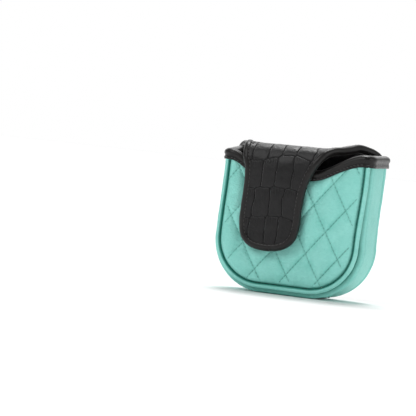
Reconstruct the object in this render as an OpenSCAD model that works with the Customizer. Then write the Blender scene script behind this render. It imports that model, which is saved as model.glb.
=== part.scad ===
// Mallet putter head cover: a padded pocket of two panels and a gusset, with a
// croc-embossed flap that folds over the mouth and closes with magnets.
// -Y is the closure side (quilted, under the tongue), +Y the display side, +Z up.

/* [Pocket] */
// Distance from the middle to the left seam at the mouth
mouth_left = 55; // [52:0.5:58]
// Distance from the middle to the right seam at the mouth, which is fuller for the shaft
mouth_right = 60; // [57:0.5:62]
// Distance from the middle to the left seam above the bottom corner
base_left = 56.5; // [54:0.5:58]
// Distance from the middle to the right seam above the bottom corner
base_right = 57.5; // [56:0.5:60]
// Radius of the bottom corners of the seam
corner_r = 36; // [28:1:40]
// Distance from the pocket's middle to each panel's outer face
face_y = 25; // [22:0.5:30]
// Height of the seam's lowest stretch above the ground
seam_bottom = 8.2; // [7.9:0.1:10]

/* [Mouth] */
// Height of the rim at the closure side's left corner
rim_left = 114; // [111:1:116]
// Height of the rim at the closure side's right corner
rim_right = 120; // [116:1:120]
// Height of the rim along its dip, under the tongue
rim_dip = 103; // [98:1:105]
// Where the dip starts, at the left
dip_left = -30; // [-34:1:-20]
// Where the dip ends, at the right
dip_right = 16; // [0:1:18]
// Height of the folded binding on the rim
binding_h = 8.5; // [7:0.5:10]

/* [Flap] */
// Height of the fold between the display panel and the flap
fold_z = 112; // [110:1:113]
// Radius of the shoulder at the display side
shoulder_r = 12; // [11:0.5:13]
// Radius of the bend into the tongue
bend_r = 17; // [16:0.5:18]
// Width of the binding around the flap
flap_binding_w = 6.5; // [5:0.5:8]

/* [Trim] */
// Outer radius of the piping
piping_r = 2.1; // [1.9:0.1:2.2]
// Width of one quilted diamond
diamond_w = 27.4; // [20:0.2:32]
// Height of one quilted diamond
diamond_h = 40; // [28:1:48]
// Radius of each closure magnet
magnet_r = 7; // [5:0.5:8]

/* [Hidden] */

croc_black = [0.10, 0.10, 0.11];
smooth_black = [0.13, 0.12, 0.12];
mint = [0.48, 0.80, 0.74];
silver_thread = [0.80, 0.80, 0.76];
grey_foam = [0.55, 0.55, 0.55];
plush_black = [0.08, 0.08, 0.08];
steel = [0.70, 0.71, 0.73];

gap = 0.1;                 // clearance between layers that lie on each other
leather_t = 1.6;           // outer leather
foam_t = 2.9;              // padding of the panels
lining_t = 1.7;            // plush lining
foam_y = face_y - leather_t - gap;
lining_y = foam_y - foam_t - gap;
inner_y = lining_y - lining_t;

corner_z = seam_bottom + corner_r;
upright_z = 102;           // above this the pocket's sides are vertical
side_steps = 3;
corner_steps = 12;

// Gusset layers, as distances outward from the seam
gusset_edge_y = 19.6;
foam_edge_y = 19.4;
lining_edge_y = 18.4;
gusset_out = 5.8;
gusset_in = 4.2;
gusset_fullness = 2;       // the gusset bulges this much more round the bottom
gusset_lining_in = 0.3;
gusset_lining_out = 2.1;

// Piping, in the corner between panel and gusset
piping_u = 2.3;
piping_y = 22.6;
piping_bore_r = 1.4;
piping_cord_r = 1.3;

// Rim binding: a strip folded over the mouth's edge
rim_mid_y = -21.8;
rim_mid_u = 3.05;
rim_turn_r = 4.6;
rim_half = 4.3;
rim_cavity = 3.45;
rim_top_t = 0.95;
wall_top = rim_top_t + 0.25;
rim_display_left = 118;
rim_display_right = 121;
rim_end_y = 19.4;
rim_turn_y = rim_mid_y + rim_turn_r;

// Flap sheet: layers as depths below its outer surface
wrap_t = 0.8;              // binding leather standing proud on each side
flap_t = 5;
flap_leather_t = 1.6;
flap_foam_end = 3.8;
tongue_y = -32.8;          // outer surface of the tongue's leather
shoulder_y = face_y - shoulder_r;
bend_y = tongue_y + bend_r;
top_z = fold_z + shoulder_r;
bend_z = top_z - bend_r;
split_a = 135;             // ray of the bend where the top meets the tongue
split_gap_a = 0.8;
arc_steps = 10;
tongue_end_z = 20;

thread_r = 0.25;
thread_inset = 5;
thread_lift = 0.28;
flap_thread_lift = 0.36;
panel_edge = -0.1;         // the outer leather ends this far from the seam
body_gap = 0.3;            // clearance between parts that move apart

magnet_t = 2;
magnet_x = -13.5;
magnet_spread = 11;
magnet_z = 56;
pouch_w = 42;
pouch_h = 20;
pouch_wall = 0.3;

// Centres the bounding box on the origin
shift_x = (mouth_left - mouth_right) / 2;
shift_y = (-tongue_y + flap_thread_lift + thread_r - face_y) / 2;

// ---- curves and outlines ----

function ramp(t) = let (c = max(0, min(1, t))) c * c * (3 - 2 * c);

// Rim height along the closure panel
function rim_z(x) =
    x < dip_left
    ? rim_dip + (rim_left - rim_dip) * ramp((dip_left - x) / (dip_left + mouth_left))
    : rim_dip + (rim_right - rim_dip) * ramp((x - dip_right) / (mouth_right - dip_right));

// Rim height along a gusset edge, from the closure corner to the display side
function gusset_rim_z(side, y) =
    let (t = max(0, (y - rim_turn_y) / (rim_end_y - rim_turn_y)),
         corner = side < 0 ? rim_left : rim_right,
         far = side < 0 ? rim_display_left : rim_display_right)
    corner + (far - corner) * t;

// Half of the seam, from the mouth down to the bottom: [x, z, nx, nz, fullness],
// where fullness is 0 at the mouth and 1 round the bottom
function seam_half(top, mouth, base) = concat(
    [[mouth, top, 1, 0, 0]],
    [for (i = [0 : side_steps])
        let (t = i / side_steps)
        [mouth + (base - mouth) * t, upright_z + (corner_z - upright_z) * t, 1, 0, t * t]],
    [for (i = [1 : corner_steps])
        let (a = -90 * i / corner_steps)
        [base - corner_r + corner_r * cos(a), corner_z + corner_r * sin(a),
         cos(a), sin(a), 1]]
);

function mirrored(half) =
    [for (i = [len(half) - 1 : -1 : 0])
        [-half[i][0], half[i][1], -half[i][2], half[i][3], half[i][4]]];

function seam(top) = concat(seam_half(top, mouth_right, base_right),
                            mirrored(seam_half(top, mouth_left, base_left)));

function seam_outline(offset, top) =
    [for (p = seam(top)) [p[0] + offset * p[2], p[1] + offset * p[3]]];

// Points of a smooth curve through control points
function spline_point(a, b, c, d, t) =
    0.5 * ((2 * b) + (c - a) * t + (2 * a - 5 * b + 4 * c - d) * t * t
           + (3 * b - a - 3 * c + d) * t * t * t);

function smooth(p, steps) = concat(
    [for (i = [0 : len(p) - 2])
        let (a = p[max(i - 1, 0)], d = p[min(i + 2, len(p) - 1)])
        for (j = [0 : steps - 1]) spline_point(a, p[i], p[i + 1], d, j / steps)],
    [p[len(p) - 1]]
);

function unit(v) = v / norm(v);

// A curve moved sideways, to the left of its direction
function inset(p, d) =
    [for (i = [0 : len(p) - 1])
        let (t = unit(p[min(i + 1, len(p) - 1)] - p[max(i - 1, 0)]))
        [p[i][0] - d * t[1], p[i][1] + d * t[0]]];

function reversed(p) = [for (i = [len(p) - 1 : -1 : 0]) p[i]];

// Flap edges in plan (x, y), from the fold to the bend
flap_right = smooth([[58.2, 26.5], [57.8, 22], [56, 17], [52, 11], [47.5, 4],
                     [42.5, -6], [38, -16], [31, -29]], 4);
flap_left = smooth([[-53.2, 26.5], [-53, 22], [-52.4, 17], [-51.2, 11], [-49, 4],
                    [-46.6, -6], [-45, -16], [-43.6, -29]], 4);

// Tongue edge seen from the closure side (x, z), down the left and up the right
tongue_edge = smooth([[-43.6, 121], [-41.6, 112], [-39, 101], [-38.2, 88], [-38.8, 70],
                      [-38.8, 56], [-35.8, 44.5], [-27.3, 37], [-13.5, 34.7], [0.5, 37],
                      [9.5, 44.5], [13, 56], [13.4, 72], [14.8, 86], [18.4, 98],
                      [23.6, 109], [30.4, 121]], 4);

// Outer surface of the flap at a depth d: [y, z], along one arc
function arc(cy, cz, r, a0, a1) =
    [for (i = [0 : arc_steps])
        let (a = a0 + (a1 - a0) * i / arc_steps) [cy + r * cos(a), cz + r * sin(a)]];

function top_path(d) = concat(
    [[face_y - d, fold_z + body_gap]],
    arc(shoulder_y, fold_z, shoulder_r - d, 3, 90),
    arc(bend_y, bend_z, bend_r - d, 90, split_a - split_gap_a));

function tongue_path(d) = concat(
    arc(bend_y, bend_z, bend_r - d, split_a + split_gap_a, 180),
    [[tongue_y + d, tongue_end_z]]);

// Height of the flap's binding above plan position y
function top_surface_z(y, lift) =
    let (rs = shoulder_r + wrap_t + lift, rb = bend_r + wrap_t + lift)
    y > shoulder_y ? fold_z + sqrt(max(0, rs * rs - pow(y - shoulder_y, 2)))
    : y > bend_y ? top_z + wrap_t + lift
    : bend_z + sqrt(max(0, rb * rb - pow(y - bend_y, 2)));

// Face of the tongue's binding at height z
function tongue_surface_y(z, lift) =
    let (rb = bend_r + wrap_t + lift)
    z > bend_z ? bend_y - sqrt(max(0, rb * rb - pow(z - bend_z, 2)))
    : tongue_y - wrap_t - lift;

// ---- solids swept along curves ----

// Joins rings of points into one closed solid
module skin(rings) {
    n = len(rings);
    m = len(rings[0]);
    sides = [for (i = [0 : n - 2]) for (j = [0 : m - 1])
        let (k = (j + 1) % m)
        each [[i * m + j, i * m + k, (i + 1) * m + k],
              [i * m + j, (i + 1) * m + k, (i + 1) * m + j]]];
    start = [for (j = [m - 1 : -1 : 0]) j];
    end = [for (j = [0 : m - 1]) (n - 1) * m + j];
    polyhedron([for (r = rings) each r], concat(sides, [start, end]), convexity = 8);
}

// A profile of [distance outward, y, share of the fullness] carried round the seam,
// with its ends at the rim
module seam_band(profile, below_rim) {
    path = seam(upright_z + 1);
    last = len(path) - 1;
    skin([for (i = [0 : last])
        [for (q = profile)
            let (p = path[i], end = i == 0 ? 1 : i == last ? -1 : 0,
                 out = q[0] + q[2] * gusset_fullness * p[4])
            [p[0] + out * p[2], q[1],
             end == 0 ? p[1] + out * p[3] : gusset_rim_z(end, q[1]) - below_rim]]]);
}

// A round tube along a 3-D curve; ref is never parallel to the curve
module tube(path, r, ref, sides = 6) {
    last = len(path) - 1;
    skin([for (i = [0 : last])
        let (t = unit(path[min(i + 1, last)] - path[max(i - 1, 0)]),
             n = unit(cross(t, ref)), b = cross(n, t))
        [for (j = [0 : sides - 1])
            let (a = 360 * j / sides) path[i] + r * (cos(a) * n + sin(a) * b)]]);
}

// An outline in x and z, between two y positions
module panel(outline, y0, y1) {
    translate([0, y1, 0]) rotate([90, 0, 0]) linear_extrude(y1 - y0) polygon(outline);
}

// A section in y and z, along x
module section(outline, x0, x1) {
    translate([x0, 0, 0]) rotate([90, 0, 90]) linear_extrude(x1 - x0) polygon(outline);
}

// An outline in plan, upright
module plan(outline, z0, z1) {
    translate([0, 0, z0]) linear_extrude(z1 - z0) polygon(outline);
}

module placed() {
    translate([shift_x, shift_y, 0]) children();
}

// ---- pocket ----

module display_layer(offset, y0, y1) {
    panel(seam_outline(offset, fold_z), y0, y1);
}

// Closure layers end just under the top of the rim binding
module closure_layer(offset, y0, y1) {
    sides = [for (p = seam(upright_z)) [p[0] + offset * p[2], p[1] + offset * p[3]]];
    from_x = -mouth_left - offset;
    to_x = mouth_right + offset;
    rim_steps = 24;
    rim = [for (i = [0 : rim_steps])
        let (x = from_x + (to_x - from_x) * i / rim_steps) [x, rim_z(x) - wall_top]];
    panel(concat(sides, rim), y0, y1);
}

module display_panel() color(croc_black)
    display_layer(panel_edge, foam_y + gap, face_y);

module display_foam() color(grey_foam)
    display_layer(-0.8, lining_y + gap, foam_y);

module display_lining() color(plush_black)
    display_layer(-1.6, inner_y, lining_y);

module closure_panel() color(mint)
    closure_layer(panel_edge, -face_y, -foam_y - gap);

module closure_foam() color(grey_foam) difference() {
    closure_layer(-0.8, -foam_y, -lining_y - gap);
    pouch_block(-foam_y - gap, gap);
}

module closure_lining() color(plush_black)
    closure_layer(-1.6, -lining_y, -inner_y);

module gusset() color(mint)
    seam_band([[gusset_in, -gusset_edge_y, 1], [gusset_out, -gusset_edge_y, 1],
               [gusset_out, gusset_edge_y, 1], [gusset_in, gusset_edge_y, 1]], wall_top);

module gusset_foam() color(grey_foam)
    seam_band([[gusset_lining_out + gap, -foam_edge_y, 0], [gusset_in - gap, -foam_edge_y, 1],
               [gusset_in - gap, foam_edge_y, 1], [gusset_lining_out + gap, foam_edge_y, 0]],
              wall_top);

module gusset_lining() color(plush_black)
    seam_band([[gusset_lining_in, -lining_edge_y, 0], [gusset_lining_out, -lining_edge_y, 0],
               [gusset_lining_out, lining_edge_y, 0], [gusset_lining_in, lining_edge_y, 0]],
              wall_top);

// ---- piping ----

// The cover is a strip wrapped round the cord, open towards the seam
module piping_cover(side) {
    open_a = 200;
    steps = 12;
    function ring_point(r, i) =
        let (a = open_a + 25 + (310 * i / steps))
        [piping_u + r * cos(a), side * (piping_y + r * sin(a))];
    outer = [for (i = [0 : steps]) ring_point(piping_r, i)];
    inner = [for (i = [steps : -1 : 0]) ring_point(piping_bore_r, i)];
    profile = concat(outer, inner);
    color(mint) seam_trim(side > 0 ? profile : reversed(profile));
}

module piping_cord(side) {
    sides = 10;
    profile = [for (i = [0 : sides - 1])
        let (a = 360 * i / sides)
        [piping_u + piping_cord_r * cos(a), side * (piping_y + piping_cord_r * sin(a))]];
    color("white") seam_trim(side > 0 ? profile : reversed(profile));
}

// Trim stops under the rim binding at the closure side and at the fold at the display side
module seam_trim(profile) {
    path = seam(upright_z + 1);
    last = len(path) - 1;
    at_display = profile[0][1] > 0;
    skin([for (i = [0 : last])
        let (p = path[i], end = i == 0 ? 1 : i == last ? -1 : 0,
             stop = at_display ? fold_z - gap
                  : gusset_rim_z(end, -piping_y) - binding_h - gap)
        [for (q = profile)
            [p[0] + q[0] * p[2], q[1], end == 0 ? p[1] + q[0] * p[3] : stop]]]);
}

// ---- rim binding ----

// Line along the rim's middle, seen from above: [x, y, nx, ny, z]
function rim_line() =
    let (left_x = -mouth_left - rim_mid_u, right_x = mouth_right + rim_mid_u,
         from_x = left_x + rim_turn_r, to_x = right_x - rim_turn_r, steps = 26)
    concat(
        [for (y = [rim_end_y, 10, 0, -9]) [left_x, y, -1, 0, gusset_rim_z(-1, y)]],
        [for (a = [180 : 15 : 255])
            [from_x + rim_turn_r * cos(a), rim_turn_y + rim_turn_r * sin(a),
             cos(a), sin(a), rim_left]],
        [for (i = [0 : steps])
            let (x = from_x + (to_x - from_x) * i / steps) [x, rim_mid_y, 0, -1, rim_z(x)]],
        [for (a = [285 : 15 : 360])
            [to_x + rim_turn_r * cos(a), rim_turn_y + rim_turn_r * sin(a),
             cos(a), sin(a), rim_right]],
        [for (y = [-9, 0, 10, rim_end_y]) [right_x, y, 1, 0, gusset_rim_z(1, y)]]);

module rim_binding() {
    crown = 2.9;
    profile = [[rim_half, -binding_h], [rim_half, -1.5], [crown, 0], [-crown, 0],
               [-rim_half, -1.5], [-rim_half, -binding_h], [-rim_cavity, -binding_h],
               [-rim_cavity, -rim_top_t], [rim_cavity, -rim_top_t],
               [rim_cavity, -binding_h]];
    color(smooth_black) skin([for (p = rim_line())
        [for (q = reversed(profile))
            [p[0] + q[0] * p[2], p[1] + q[0] * p[3], p[4] + q[1]]]]);
}

module rim_binding_thread() {
    out = rim_half + thread_lift;
    drop = thread_inset + 1.4;
    color(smooth_black)
        tube([for (p = rim_line()) [p[0] + out * p[2], p[1] + out * p[3], p[4] - drop]],
             thread_r, [0, 0, 1]);
}

// ---- thread work ----

module quilting_thread() {
    crossing = [33.8, 55.5];
    half_w = 0.3;
    lean = 3.5;            // the diamonds lean a little to the left
    slope = atan2(diamond_h, diamond_w);
    color(mint) intersection() {
        closure_layer_below_binding();
        union() for (dir = [-1, 1]) for (k = [-6 : 4])
            translate([crossing[0], -face_y - 0.32, crossing[1]])
                rotate([0, lean, 0]) translate([k * diamond_w, 0, 0])
                    rotate([0, -dir * slope, 0])
                        translate([-120, 0, -half_w]) cube([240, 0.3, 2 * half_w]);
    }
}

module closure_layer_below_binding() {
    inset = 2;
    sides = [for (p = seam(upright_z)) if (p[1] < rim_dip - binding_h - inset)
        [p[0] - inset * p[2], p[1] - inset * p[3]]];
    from_x = -mouth_left + inset;
    to_x = mouth_right - inset;
    rim_steps = 24;
    rim = [for (i = [0 : rim_steps])
        let (x = from_x + (to_x - from_x) * i / rim_steps)
        [x, rim_z(x) - binding_h - 0.6]];
    panel(concat(sides, rim), -face_y - 1, -face_y + 1);
}

// Satin-stitched motif on the display panel: a flag in a green, with a ball
module embroidery() {
    y0 = face_y + 0.05;
    y1 = face_y + 0.65;
    green = [0, 54];
    green_w = 43;
    green_h = 13;
    pole_x = -8;
    color(silver_thread) {
        panel_ring(green, green_w, green_h, 2.6, y0, y1);
        panel_ring([pole_x, 54], 6, 2, 1, y0, y1);
        panel_ring([24, 54], 6, 6, 1.8, y0, y1);
        panel([[pole_x - 1, 56.6], [pole_x + 1, 56.6], [pole_x + 1, 96],
               [pole_x - 1, 96]], y0, y1);
        difference() {
            panel([[pole_x - 1.2, 96], [pole_x - 1.2, 78], [pole_x - 31, 87]], y0, y1);
            panel([[pole_x - 3.2, 93], [pole_x - 3.2, 81], [pole_x - 23, 87]], y0 - 1, y1 + 1);
        }
    }
}

module panel_ring(centre, rx, rz, line_w, y0, y1) {
    steps = 48;
    function oval(grow) = [for (i = [0 : steps - 1])
        let (a = 360 * i / steps)
        [centre[0] + (rx + grow) * cos(a), centre[1] + (rz + grow) * sin(a)]];
    difference() {
        panel(oval(line_w / 2), y0, y1);
        panel(oval(-line_w / 2), y0 - 1, y1 + 1);
    }
}

// Plain slanted bars stitched under the gusset, which the cover stands on
module underside_bars() {
    count = 7;
    pitch = 5.6;
    bar_w = 3.2;
    lean = 3;
    ground = seam_bottom - gusset_out - gusset_fullness;
    color(croc_black) for (i = [0 : count - 1])
        let (x = (i - (count - 1) / 2) * pitch)
        plan([[x - bar_w / 2 - lean, -9], [x + bar_w / 2 - lean, -9],
              [x + bar_w / 2 + lean, 9], [x - bar_w / 2 + lean, 9]], 0, ground - 0.02);
}

// ---- flap ----

// Plan of the flap's top between its edges, each moved in by d
function top_plan(d) = concat(inset(flap_right, -d), reversed(inset(flap_left, d)));

module top_layer(d0, d1) {
    intersection() {
        section(concat(top_path(d0), reversed(top_path(d1))), -65, 65);
        plan(top_plan(1), fold_z - 1, top_z + 5);
    }
}

// A strip of the plan along one edge: side is -1 for the left, 1 for the right
module top_edge_plan(side, d0, d1) {
    edge = side < 0 ? flap_left : flap_right;
    plan(concat(inset(edge, -side * d0), reversed(inset(edge, -side * d1))),
         fold_z - 1, top_z + 5);
}

module flap_top_leather() color(croc_black) top_layer(0, flap_leather_t);

module flap_top_foam() color(grey_foam)
    top_layer(flap_leather_t + gap / 2, flap_foam_end);

module flap_top_lining() color(plush_black)
    top_layer(flap_foam_end + gap / 2, flap_t);

module flap_top_binding(side) color(smooth_black) difference() {
    intersection() {
        section(concat(top_path(-wrap_t), reversed(top_path(flap_t + wrap_t))), -65, 65);
        top_edge_plan(side, 0, flap_binding_w);
    }
    intersection() {
        section(concat(wider_top_path(-gap / 2), reversed(wider_top_path(flap_t + gap / 2))),
                -65, 65);
        top_edge_plan(side, 0.95, flap_binding_w + 3);
    }
}

// The top's path run on a little at both ends, to cut clean through the binding
function wider_top_path(d) = concat(
    [[face_y - d, fold_z - 1]],
    arc(shoulder_y, fold_z, shoulder_r - d, 3, 90),
    arc(bend_y, bend_z, bend_r - d, 90, split_a + 5));

module flap_top_thread(side) {
    edge = inset(side < 0 ? flap_left : flap_right, -side * thread_inset);
    color(smooth_black)
        tube([for (p = edge) if (p[1] < face_y - 1 && p[1] > -26.5)
                [p[0], p[1], top_surface_z(p[1], flap_thread_lift)]],
             thread_r, [1, 0, 0]);
}

// Layers of the tongue, cut to its outline
module tongue_layer(d0, d1) {
    intersection() {
        section(concat(tongue_path(d0), reversed(tongue_path(d1))), -65, 65);
        panel(inset(tongue_edge, 1), -40, -15);
    }
}

module tongue_leather() color(croc_black) tongue_layer(0, flap_leather_t);

module tongue_foam() color(grey_foam) difference() {
    tongue_layer(flap_leather_t + gap / 2, flap_foam_end);
    pouch_block(tongue_y + flap_leather_t, gap);
}

module tongue_lining() color(plush_black)
    tongue_layer(flap_foam_end + gap / 2, flap_t);

module tongue_binding() color(smooth_black) difference() {
    intersection() {
        section(concat(tongue_path(-wrap_t), reversed(tongue_path(flap_t + wrap_t))),
                -65, 65);
        panel(concat(tongue_edge, reversed(inset(tongue_edge, flap_binding_w))), -40, -15);
    }
    intersection() {
        section(concat(wider_tongue_path(-gap / 2),
                       reversed(wider_tongue_path(flap_t + gap / 2))), -65, 65);
        panel(inset(tongue_edge, 0.95), -40, -15);
    }
}

function wider_tongue_path(d) = concat(
    arc(bend_y, bend_z, bend_r - d, split_a - 5, 180),
    [[tongue_y + d, tongue_end_z]]);

module tongue_thread() {
    color(smooth_black)
        tube([for (p = inset(tongue_edge, thread_inset)) if (p[1] < 116.5)
                [p[0], tongue_surface_y(p[1], flap_thread_lift), p[1]]],
             thread_r, [0, 1, 0], 5);
}

// ---- magnets ----

// Room for a magnet pouch whose face nearest the closure side is at y
module pouch_block(y, grow) {
    translate([magnet_x - pouch_w / 2 - grow, y, magnet_z - pouch_h / 2 - grow])
        cube([pouch_w + 2 * grow, 3.4, pouch_h + 2 * grow]);
}

module magnet(side, y) {
    color(steel) translate([magnet_x + side * magnet_spread, y + magnet_t, magnet_z])
        rotate([90, 0, 0]) cylinder(r = magnet_r, h = magnet_t, $fn = 48);
}

// A thin fabric pouch with a pocket for each magnet
module pouch(y, depth) {
    color("dimgray") difference() {
        translate([magnet_x - pouch_w / 2, y, magnet_z - pouch_h / 2])
            cube([pouch_w, depth, pouch_h]);
        for (s = [-1, 1])
            translate([magnet_x + s * magnet_spread, y + depth + 1, magnet_z])
                rotate([90, 0, 0]) cylinder(r = magnet_r + gap, h = depth + 2, $fn = 48);
    }
}

tongue_pouch_y = tongue_y + flap_leather_t + gap;
tongue_pouch_t = 2.05;
closure_pouch_y = -foam_y + gap;
closure_pouch_t = 2.6;

placed() display_panel();
placed() display_foam();
placed() display_lining();
placed() embroidery();
placed() closure_panel();
placed() closure_foam();
placed() closure_lining();
placed() quilting_thread();
placed() magnet(-1, closure_pouch_y + 0.3);  // closure_magnet_left
placed() magnet(1, closure_pouch_y + 0.3);  // closure_magnet_right
placed() pouch(closure_pouch_y, closure_pouch_t);  // closure_magnet_pouch
placed() gusset();
placed() gusset_foam();
placed() gusset_lining();
placed() underside_bars();
placed() piping_cover(1);  // display_piping_cover
placed() piping_cord(1);  // display_piping_cord
placed() piping_cover(-1);  // closure_piping_cover
placed() piping_cord(-1);  // closure_piping_cord
placed() rim_binding();
placed() rim_binding_thread();
placed() flap_top_leather();
placed() flap_top_foam();
placed() flap_top_lining();
placed() flap_top_binding(-1);  // flap_top_binding_left
placed() flap_top_binding(1);  // flap_top_binding_right
placed() flap_top_thread(-1);  // flap_top_thread_left
placed() flap_top_thread(1);  // flap_top_thread_right
placed() tongue_leather();
placed() tongue_foam();
placed() tongue_lining();
placed() tongue_binding();
placed() tongue_thread();
placed() magnet(-1, tongue_pouch_y + 0.02);  // tongue_magnet_left
placed() magnet(1, tongue_pouch_y + 0.02);  // tongue_magnet_right
placed() pouch(tongue_pouch_y, tongue_pouch_t);  // tongue_magnet_pouch
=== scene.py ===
"""Looks of the putter head cover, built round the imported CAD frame.

Shapes are worked out in millimetres in the pocket's own coordinates, the ones that the CAD
source uses, and placed() moves them into the frame. x runs right seen from the closure side,
y towards the display side and z up. The flap's sheet has its own coordinates: x across it,
and s along it from the fold (s = 0) over the top and down the tongue, negative down the
display panel, with h the height above the leather's outer face.
"""
import math

import bpy
import numpy as np
from mathutils import Matrix, Vector


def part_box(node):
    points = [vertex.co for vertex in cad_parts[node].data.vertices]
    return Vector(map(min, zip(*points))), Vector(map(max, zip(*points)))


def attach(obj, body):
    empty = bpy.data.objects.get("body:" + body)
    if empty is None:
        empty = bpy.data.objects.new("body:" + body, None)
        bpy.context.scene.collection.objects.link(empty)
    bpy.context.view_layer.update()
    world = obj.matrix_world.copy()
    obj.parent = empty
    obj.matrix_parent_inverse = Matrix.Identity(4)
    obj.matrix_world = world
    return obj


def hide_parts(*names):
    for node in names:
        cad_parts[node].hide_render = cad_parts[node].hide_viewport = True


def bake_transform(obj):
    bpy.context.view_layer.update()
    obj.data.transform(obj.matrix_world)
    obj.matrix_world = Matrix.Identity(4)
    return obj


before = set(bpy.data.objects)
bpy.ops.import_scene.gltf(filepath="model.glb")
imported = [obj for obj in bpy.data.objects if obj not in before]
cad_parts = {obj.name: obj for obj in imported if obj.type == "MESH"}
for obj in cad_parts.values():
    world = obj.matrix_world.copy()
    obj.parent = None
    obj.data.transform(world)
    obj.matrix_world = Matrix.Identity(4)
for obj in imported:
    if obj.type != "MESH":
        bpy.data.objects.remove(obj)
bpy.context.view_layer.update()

MM = 0.001

# ---- driving dimensions, in mm ----

MAGNET_X = -13.5
MOUTH_LEFT, MOUTH_RIGHT = 55.0, 60.0
BASE_LEFT, BASE_RIGHT = 56.5, 57.5
CORNER_R = 36.0
SEAM_BOTTOM = 8.2
CORNER_Z = SEAM_BOTTOM + CORNER_R
UPRIGHT_Z = 102.0
RIM_DIP, RIM_LEFT, RIM_RIGHT = 103.0, 114.0, 120.0
DIP_LEFT, DIP_RIGHT = -30.0, 16.0
RIM_DISPLAY_LEFT, RIM_DISPLAY_RIGHT = 118.0, 121.0
RIM_MID_Y, RIM_MID_U, RIM_TURN_R, RIM_END_Y = -21.8, 3.05, 4.6, 19.4
BINDING_H = 8.5
FOLD_Z = 112.0
SEAM_TOP, STRETCH_Z = 114.0, 88.0
TONGUE_TIP_Z = 34.7
SHOULDER_R, BEND_R = 12.0, 17.0
TONGUE_Y = -32.8
PIPING_R, PIPING_U, PIPING_Y = 2.1, 2.3, 22.6
GUSSET_EDGE_Y, GROOVE_Y = 19.6, 14.5


def mm_box(node):
    lo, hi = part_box(node)
    return np.array(lo) / MM, np.array(hi) / MM


def frame_shift():
    """From the pocket's coordinates to the frame's: the faces and the magnets say where it is."""
    closure_lo, _ = mm_box("closure_panel")
    _, display_hi = mm_box("display_panel")
    left_lo, _ = mm_box("tongue_magnet_left")
    _, right_hi = mm_box("tongue_magnet_right")
    x = (left_lo[0] + right_hi[0]) / 2 - MAGNET_X
    y = (closure_lo[1] + display_hi[1]) / 2
    return np.array([x, y, 0.0]), (display_hi[1] - closure_lo[1]) / 2


SHIFT, FACE_Y = frame_shift()


def placed(points):
    return (np.asarray(points, float) + SHIFT) * MM


# ---- curves and small maths ----

def ramp(t):
    t = np.clip(t, 0, 1)
    return t * t * (3 - 2 * t)


def bell(t):
    return np.exp(-np.square(t))


SCATTER, SCATTER_SIZE = np.array([127.1, 311.7, 74.7]), 43758.5453


def value_noise(p, size, seed=0):
    """Smooth noise from -1 to 1 at points p, with lumps of about that size."""
    q = np.asarray(p, float) / size + seed * 17.31
    cell = np.floor(q)
    f = q - cell
    f = f * f * (3 - 2 * f)
    total = np.zeros(q.shape[:-1])
    for corner in np.ndindex(*(2,) * q.shape[-1]):
        c = np.array(corner)
        key = (cell + c) @ SCATTER[: q.shape[-1]] + seed * 53.7
        r = np.sin(key) * SCATTER_SIZE
        weight = np.prod(np.where(c == 1, f, 1 - f), axis=-1)
        total += weight * (r - np.floor(r))
    return total * 2 - 1


def smooth_curve(points, steps=12):
    """A curve through the points."""
    p = np.asarray(points, float)
    out = []
    for i in range(len(p) - 1):
        a, b, c = p[max(i - 1, 0)], p[i], p[i + 1]
        d = p[min(i + 2, len(p) - 1)]
        for j in range(steps):
            t = j / steps
            out.append(0.5 * (2 * b + (c - a) * t + (2 * a - 5 * b + 4 * c - d) * t * t
                              + (3 * b - a - 3 * c + d) * t ** 3))
    out.append(p[-1])
    return np.array(out)


def run_length(points):
    """Length of a polyline up to each of its points."""
    return np.concatenate([[0], np.cumsum(np.linalg.norm(np.diff(points, axis=0), axis=1))])


def resampled(points, step):
    """The same polyline with even spacing."""
    p = np.asarray(points, float)
    length = run_length(p)
    count = max(2, int(round(length[-1] / step)) + 1)
    at = np.linspace(0, length[-1], count)
    return np.stack([np.interp(at, length, p[:, k]) for k in range(p.shape[1])], axis=1)


def tangents(points, closed=False):
    p = np.asarray(points, float)
    if closed:
        t = np.roll(p, -1, axis=0) - np.roll(p, 1, axis=0)
    else:
        t = np.gradient(p, axis=0)
    return t / np.linalg.norm(t, axis=1)[:, None]


def unit(v):
    return v / np.linalg.norm(v, axis=-1)[..., None]


def rim_z(x):
    """Height of the rim along the closure side."""
    left = (RIM_LEFT - RIM_DIP) * ramp((DIP_LEFT - x) / (DIP_LEFT + MOUTH_LEFT))
    right = (RIM_RIGHT - RIM_DIP) * ramp((x - DIP_RIGHT) / (MOUTH_RIGHT - DIP_RIGHT))
    return RIM_DIP + left + right


def gusset_rim_z(side, y):
    """Height of the rim along the gusset's left (-1) or right (1) side."""
    turn_y = RIM_MID_Y + RIM_TURN_R
    t = np.clip((y - turn_y) / (RIM_END_Y - turn_y), 0, 1)
    corner, far = (RIM_LEFT, RIM_DISPLAY_LEFT) if side < 0 else (RIM_RIGHT, RIM_DISPLAY_RIGHT)
    return corner + (far - corner) * t


def half_width(side, z):
    """Distance from the middle to the seam at height z."""
    mouth, base = (MOUTH_LEFT, BASE_LEFT) if side < 0 else (MOUTH_RIGHT, BASE_RIGHT)
    z = np.asarray(z, float)
    upright = base + (mouth - base) * ramp((z - CORNER_Z) / (UPRIGHT_Z - CORNER_Z))
    drop = np.clip(CORNER_Z - z, 0, CORNER_R)
    rounded = base - CORNER_R + np.sqrt(np.maximum(CORNER_R ** 2 - drop ** 2, 0))
    return np.where(z > CORNER_Z, upright, rounded)


def panel_half(x, z):
    """The half width on x's own side."""
    return np.where(x < 0, half_width(-1, z), half_width(1, z))


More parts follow.
